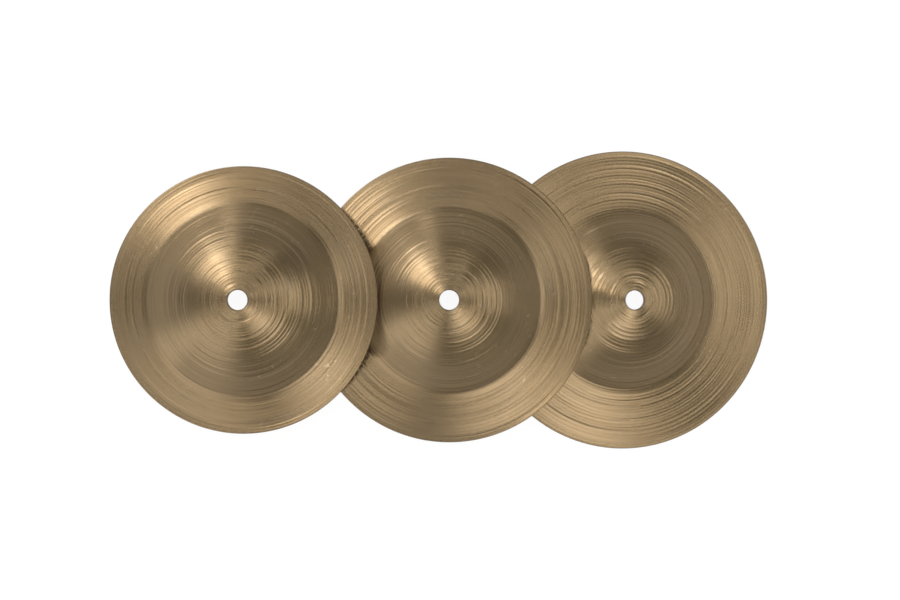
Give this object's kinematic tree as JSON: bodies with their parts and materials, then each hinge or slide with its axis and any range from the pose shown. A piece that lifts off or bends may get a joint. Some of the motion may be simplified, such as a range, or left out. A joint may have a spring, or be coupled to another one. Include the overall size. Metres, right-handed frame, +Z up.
{
  "type": "bell cymbal set",
  "caption": "Bell cymbals turned in bronze, each a tall cup on a flat flange with a central bore, lying overlapped with one leaning on the next.",
  "frame": {"origin": "on the table that the set lies on, under the middle of its overall box", "axes": "+Z up from the table, +X from the small cymbal to the large one, +Y away from a person who has the small cymbal on their left"},
  "size_m": [0.3898, 0.1778, 0.0373],
  "materials": {
    "bronze": "lathed"
  },
  "bodies": {
    "large": {"large_cymbal": "bronze"},
    "middle": {"middle_cymbal": "bronze"},
    "small": {"small_cymbal": "bronze"}
  },
  "joints": [
    {"name": "middle_lift", "type": "slide", "parent": "large", "child": "middle", "axis": [0, 0, 1], "range_m": [0, 0.06]},
    {"name": "small_lift", "type": "slide", "parent": "middle", "child": "small", "axis": [0, 0, 1], "range_m": [0, 0.06]}
  ]
}
